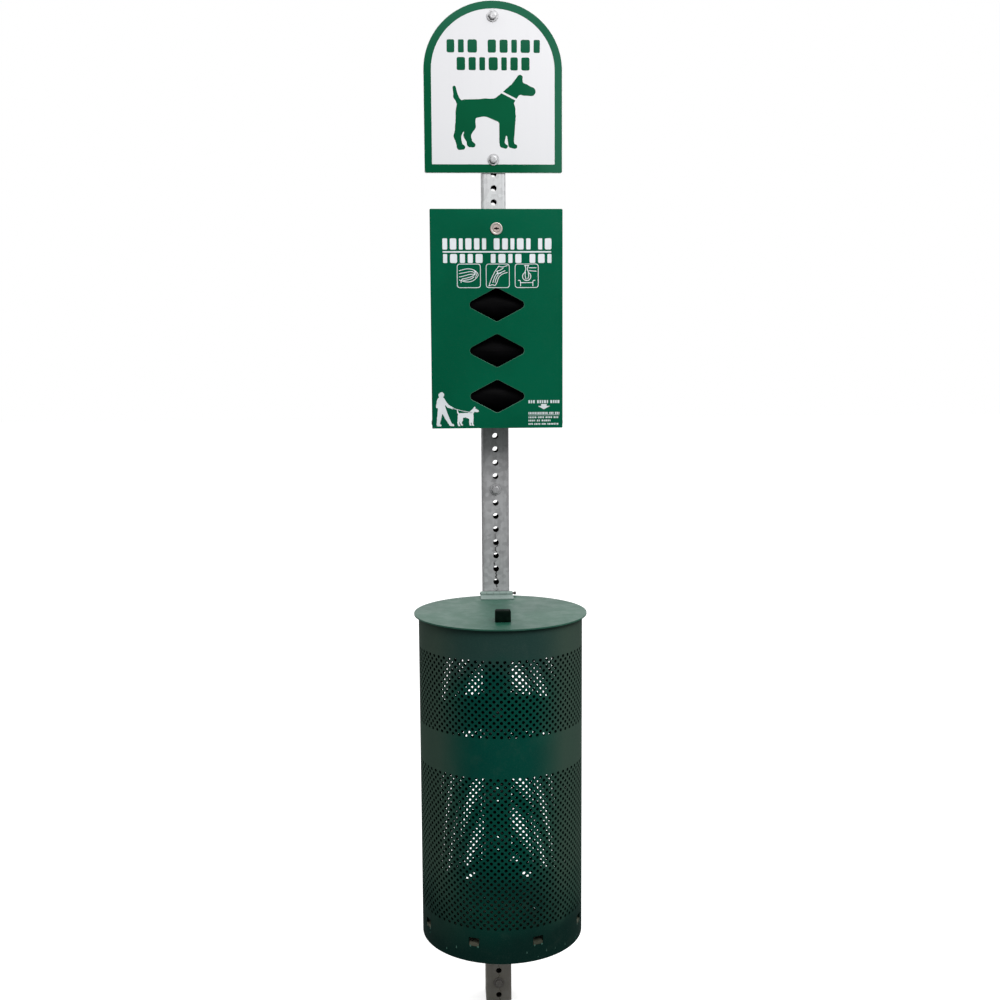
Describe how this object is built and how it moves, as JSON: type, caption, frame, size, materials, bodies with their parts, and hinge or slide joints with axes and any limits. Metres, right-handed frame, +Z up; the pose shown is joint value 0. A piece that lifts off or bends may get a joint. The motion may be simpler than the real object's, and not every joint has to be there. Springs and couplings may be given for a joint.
{
  "type": "pet waste station",
  "caption": "Square perforated post with an arched sign, a lockable bag dispenser with diamond openings, and a round perforated can with a hinged lid.",
  "frame": {"origin": "on the ground, below the middle of the whole station's bounding box; the post's axis is 149.6 mm behind it", "axes": "+Z up along the post, -Y towards the person using the station, +X to that person's right"},
  "size_m": [0.308, 0.3718, 1.9193],
  "materials": {
    "galvanised": "weathered galvanised steel",
    "zinc": "zinc plated",
    "chrome": "polished",
    "sign_enamel": "white enamel with a green border",
    "dispenser_paint": "satin green powder coat",
    "can_paint": "satin dark green powder coat",
    "lid_paint": "semi-gloss dark green powder coat",
    "knob_plastic": "moulded black",
    "bag_film": "thin black film",
    "card": "bare card tube"
  },
  "bodies": {
    "station": {"post_lower": "galvanised", "post_upper": "galvanised", "ground_anchor": "galvanised", "anchor_bolt": "zinc", "anchor_washer": "zinc", "anchor_nut": "zinc", "splice_bolt": "zinc", "splice_washer": "zinc", "splice_nut": "zinc", "sign_bolt_low": "zinc", "sign_bolt_top": "zinc", "sign_washer_low": "zinc", "sign_washer_top": "zinc", "sign_nut_low": "zinc", "sign_nut_top": "zinc", "dispenser_bolt_low": "zinc", "dispenser_bolt_top": "zinc", "dispenser_washer_low": "zinc", "dispenser_washer_top": "zinc", "dispenser_nut_low": "zinc", "dispenser_nut_top": "zinc", "can_bolt_low": "zinc", "can_bolt_top": "zinc", "can_washer_low": "zinc", "can_washer_top": "zinc", "can_nut_low": "zinc", "can_nut_top": "zinc", "sign_panel": "sign_enamel", "dispenser_pan": "dispenser_paint", "door_pivot_left": "zinc", "door_pivot_right": "zinc", "lock_catch": "zinc", "catch_rivet": "zinc", "dispenser_spacer": "zinc", "hinge_pin": "zinc", "roll_spindle_low": "zinc", "roll_spindle_mid": "zinc", "roll_spindle_top": "zinc", "can_shell": "can_paint", "can_floor": "can_paint", "can_saddle_low": "can_paint", "can_saddle_top": "can_paint", "hinge_strap": "lid_paint"},
    "lid": {"can_lid": "lid_paint", "lid_leaf": "lid_paint", "lid_knob": "knob_plastic", "knob_screw": "zinc"},
    "door": {"dispenser_door": "dispenser_paint", "lock_barrel": "chrome", "lock_nut": "zinc"},
    "lock": {"lock_plug": "chrome", "lock_cam": "zinc", "cam_screw": "zinc"},
    "roll_low": {"bag_roll_low": "bag_film", "roll_core_low": "card"},
    "roll_mid": {"bag_roll_mid": "bag_film", "roll_core_mid": "card"},
    "roll_top": {"bag_roll_top": "bag_film", "roll_core_top": "card"}
  },
  "joints": [
    {"name": "lid_hinge", "type": "hinge", "parent": "station", "child": "lid", "pos_m": [0, 0.1199, 0.8294], "axis": [-1, 0, 0], "range_deg": [0, 85]},
    {"name": "door_hinge", "type": "hinge", "parent": "station", "child": "door", "pos_m": [0, 0.0416, 1.16], "axis": [1, 0, 0], "range_deg": [0, 95]},
    {"name": "lock_turn", "type": "hinge", "parent": "door", "child": "lock", "pos_m": [0, 0.0286, 1.5027], "axis": [0, 1, 0], "range_deg": [0, 90]},
    {"name": "roll_spin_low", "type": "hinge", "parent": "station", "child": "roll_low", "pos_m": [0, 0.07025, 1.207], "axis": [1, 0, 0], "continuous": true},
    {"name": "roll_spin_mid", "type": "hinge", "parent": "station", "child": "roll_mid", "pos_m": [0, 0.07025, 1.2885], "axis": [1, 0, 0], "continuous": true},
    {"name": "roll_spin_top", "type": "hinge", "parent": "station", "child": "roll_top", "pos_m": [0, 0.07025, 1.37], "axis": [1, 0, 0], "continuous": true}
  ]
}
